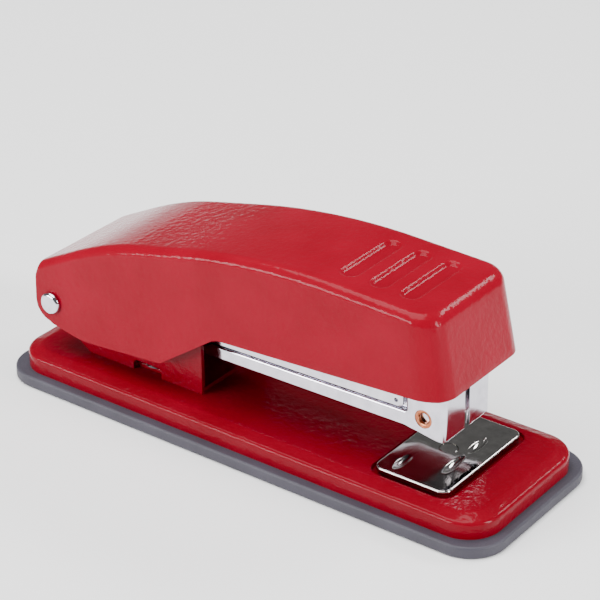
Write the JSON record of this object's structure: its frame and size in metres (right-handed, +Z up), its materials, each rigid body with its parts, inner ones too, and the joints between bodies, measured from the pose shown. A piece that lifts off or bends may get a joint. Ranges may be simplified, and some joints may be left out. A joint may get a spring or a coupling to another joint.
{
  "type": "desk stapler",
  "caption": "Compact desk stapler with a painted steel arm, spring-fed magazine, turning anvil and rubber-padded base.",
  "frame": {"origin": "middle of the pad's underside, on the table", "axes": "+X towards the nose, +Y to the stapler's left, +Z up"},
  "size_m": [0.1082, 0.038, 0.0391],
  "materials": {
    "pad_rubber": "moulded grey rubber, satin",
    "base_paint": "gloss red enamel over pressed steel",
    "arm_paint": "gloss red enamel over drawn steel",
    "bright_nickel": "bright nickel plate",
    "anvil_nickel": "polished nickel plate",
    "spring_steel": "blued spring steel",
    "rivet_copper": "copper-plated tube",
    "washer_nylon": "natural nylon"
  },
  "bodies": {
    "base": {"rubber_pad": "pad_rubber", "base_pan": "base_paint", "hinge_bracket": "base_paint", "bracket_rivets": "bright_nickel", "hinge_pin": "bright_nickel", "pivot_washers": "washer_nylon", "pivot_spacers": "washer_nylon", "lift_spring": "spring_steel", "anvil_spring": "spring_steel"},
    "anvil": {"anvil_plate": "anvil_nickel", "anvil_rivet": "anvil_nickel", "anvil_button": "bright_nickel"},
    "magazine": {"magazine_channel": "bright_nickel", "staple_rail": "bright_nickel", "nose_eyelets": "rivet_copper", "guide_rod": "spring_steel", "rod_bracket": "bright_nickel", "pusher_spring": "spring_steel"},
    "pusher": {"staple_pusher": "bright_nickel", "pusher_slider": "washer_nylon"},
    "cover": {"staple_cover": "bright_nickel"},
    "arm": {"arm_shell": "arm_paint", "driver_blade": "spring_steel", "driver_carrier": "spring_steel", "driver_rivets": "bright_nickel", "return_spring": "spring_steel"}
  },
  "joints": [
    {"name": "magazine_pivot", "type": "hinge", "parent": "base", "child": "magazine", "pos_m": [-0.045, 0, 0.0162], "axis": [0, -1, 0], "range_deg": [-3.7, 0], "stiffness_Nm_per_rad": 0.5, "springref_deg": 11.46, "deforming": ["lift_spring"]},
    {"name": "cover_pivot", "type": "hinge", "parent": "magazine", "child": "cover", "pos_m": [-0.045, 0, 0.0162], "axis": [0, -1, 0], "range_deg": [0, 95]},
    {"name": "arm_press", "type": "hinge", "parent": "cover", "child": "arm", "pos_m": [-0.045, 0, 0.0162], "axis": [0, -1, 0], "range_deg": [-5, 0], "stiffness_Nm_per_rad": 0.6, "springref_deg": 8.59, "deforming": ["return_spring"]},
    {"name": "pusher_slide", "type": "slide", "parent": "magazine", "child": "pusher", "axis": [0.9999, 0, 0.014], "range_m": [-0.05, 0], "stiffness_N_per_m": 40, "springref_m": 0.05, "deforming": ["pusher_spring"]},
    {"name": "anvil_turn", "type": "hinge", "parent": "base", "child": "anvil", "pos_m": [0.0349, 0, 0.0065], "axis": [0, 0, 1], "range_deg": [0, 180]}
  ]
}
